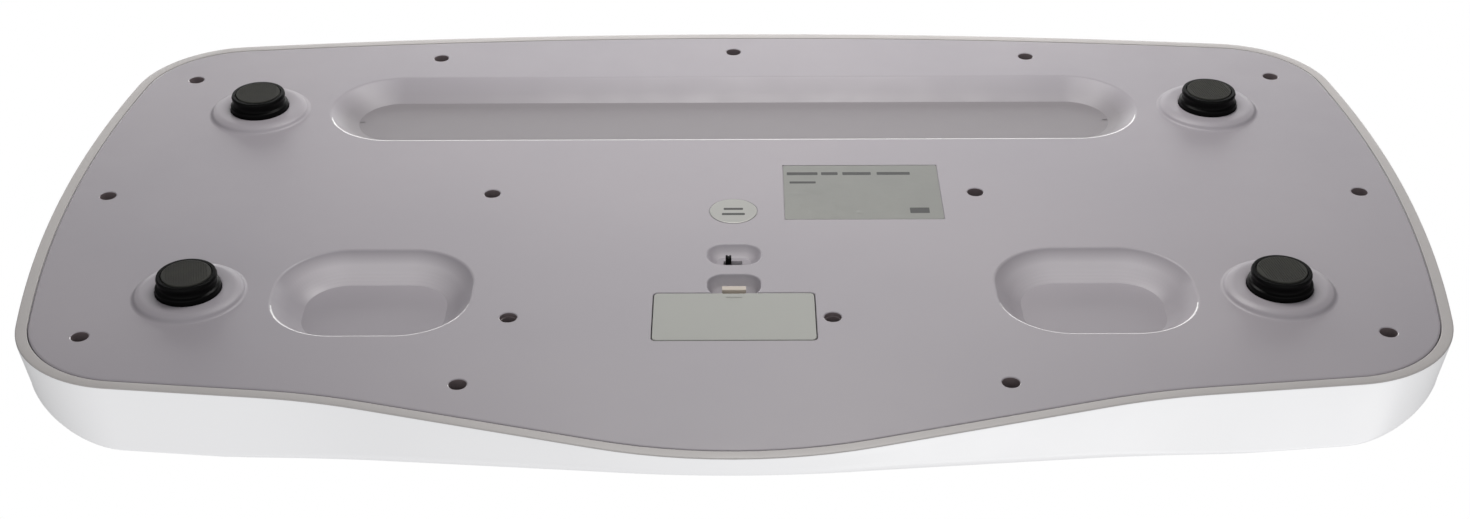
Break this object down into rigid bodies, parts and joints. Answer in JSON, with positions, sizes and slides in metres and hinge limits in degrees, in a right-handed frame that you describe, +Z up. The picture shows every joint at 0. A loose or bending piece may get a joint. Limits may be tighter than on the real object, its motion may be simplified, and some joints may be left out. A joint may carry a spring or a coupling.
{
  "type": "electronic baby scale",
  "caption": "Wide flat baby scale: white cradle tray with a sloped display at the front and a grey screwed bottom cover on black round feet, with a coin-cell door, unit switch and recesses.",
  "frame": {"origin": "centre of the footprint, on the plane of the four foot pads", "axes": "+X along the length, to the left end seen by someone facing the display from the front; +Y towards the back, away from the display; +Z up, out of the weighing tray"},
  "size_m": [0.5602, 0.337, 0.054],
  "materials": {
    "white_plastic": "smooth white moulded plastic",
    "grey_plastic": "satin lilac-grey moulded plastic",
    "door_plastic": "satin warm grey moulded plastic",
    "black_plastic": "glossy black moulded plastic",
    "grip_pad": "ribbed dark grey rubber",
    "plated_steel": "zinc-plated steel",
    "cell_steel": "bright nickel-plated steel",
    "green_board": "green solder resist on glass fibre",
    "chip_resin": "black moulding resin",
    "display_glass": "grey-green liquid crystal glass with a backing",
    "clear_window": "clear plastic window",
    "button_plastic": "smooth grey moulded plastic",
    "silver_label": "satin silver foil label",
    "silver_sticker": "bright silver foil sticker",
    "lead_sheath": "black sheath",
    "ribbon_sheath": "light grey flat ribbon"
  },
  "bodies": {
    "casing": {"tray_shell": "white_plastic", "bottom_cover": "grey_plastic", "coin_cell": "cell_steel", "battery_contact_negative": "plated_steel", "battery_contact_positive": "plated_steel", "foot_front_left": "black_plastic", "foot_pad_front_left": "grip_pad", "load_cell_front_left": "plated_steel", "load_cell_lead_front_left": "lead_sheath", "foot_front_right": "black_plastic", "foot_pad_front_right": "grip_pad", "load_cell_front_right": "plated_steel", "load_cell_lead_front_right": "lead_sheath", "foot_rear_left": "black_plastic", "foot_pad_rear_left": "grip_pad", "load_cell_rear_left": "plated_steel", "load_cell_lead_rear_left": "lead_sheath", "foot_rear_right": "black_plastic", "foot_pad_rear_right": "grip_pad", "load_cell_rear_right": "plated_steel", "load_cell_lead_rear_right": "lead_sheath", "main_board": "green_board", "controller_chip": "chip_resin", "display_board": "green_board", "lcd_glass": "display_glass", "lcd_frame": "white_plastic", "lcd_connector": "lead_sheath", "display_window": "clear_window", "tact_switch_left": "chip_resin", "tact_switch_right": "chip_resin", "slide_switch_body": "plated_steel", "main_board_screw_1": "plated_steel", "main_board_screw_2": "plated_steel", "display_board_screw_1": "plated_steel", "display_board_screw_2": "plated_steel", "rating_label": "silver_label", "quality_sticker": "silver_sticker", "display_ribbon": "ribbon_sheath", "case_screw_01": "plated_steel", "case_screw_02": "plated_steel", "case_screw_03": "plated_steel", "case_screw_04": "plated_steel", "case_screw_05": "plated_steel", "case_screw_06": "plated_steel", "case_screw_07": "plated_steel", "case_screw_08": "plated_steel", "case_screw_09": "plated_steel", "case_screw_10": "plated_steel", "case_screw_11": "plated_steel", "case_screw_12": "plated_steel", "case_screw_13": "plated_steel", "case_screw_14": "plated_steel", "case_screw_15": "plated_steel"},
    "battery_door": {"battery_door": "door_plastic"},
    "unit_switch": {"slide_switch_lever": "black_plastic"},
    "button_left": {"button_left": "button_plastic", "tact_plunger_left": "black_plastic"},
    "button_right": {"button_right": "button_plastic", "tact_plunger_right": "black_plastic"}
  },
  "joints": [
    {"name": "door_hinge", "type": "hinge", "parent": "casing", "child": "battery_door", "pos_m": [0, -0.0947, 0.0093], "axis": [-1, 0, 0], "range_deg": [0, 60]},
    {"name": "unit_switch_slide", "type": "slide", "parent": "casing", "child": "unit_switch", "axis": [-1, 0, 0], "range_m": [0, 0.0036]},
    {"name": "button_left_press", "type": "slide", "parent": "casing", "child": "button_left", "axis": [0, 0.4617, -0.887], "range_m": [0, 0.0006], "stiffness_N_per_m": 800},
    {"name": "button_right_press", "type": "slide", "parent": "casing", "child": "button_right", "axis": [0, 0.4617, -0.887], "range_m": [0, 0.0006], "stiffness_N_per_m": 800}
  ]
}
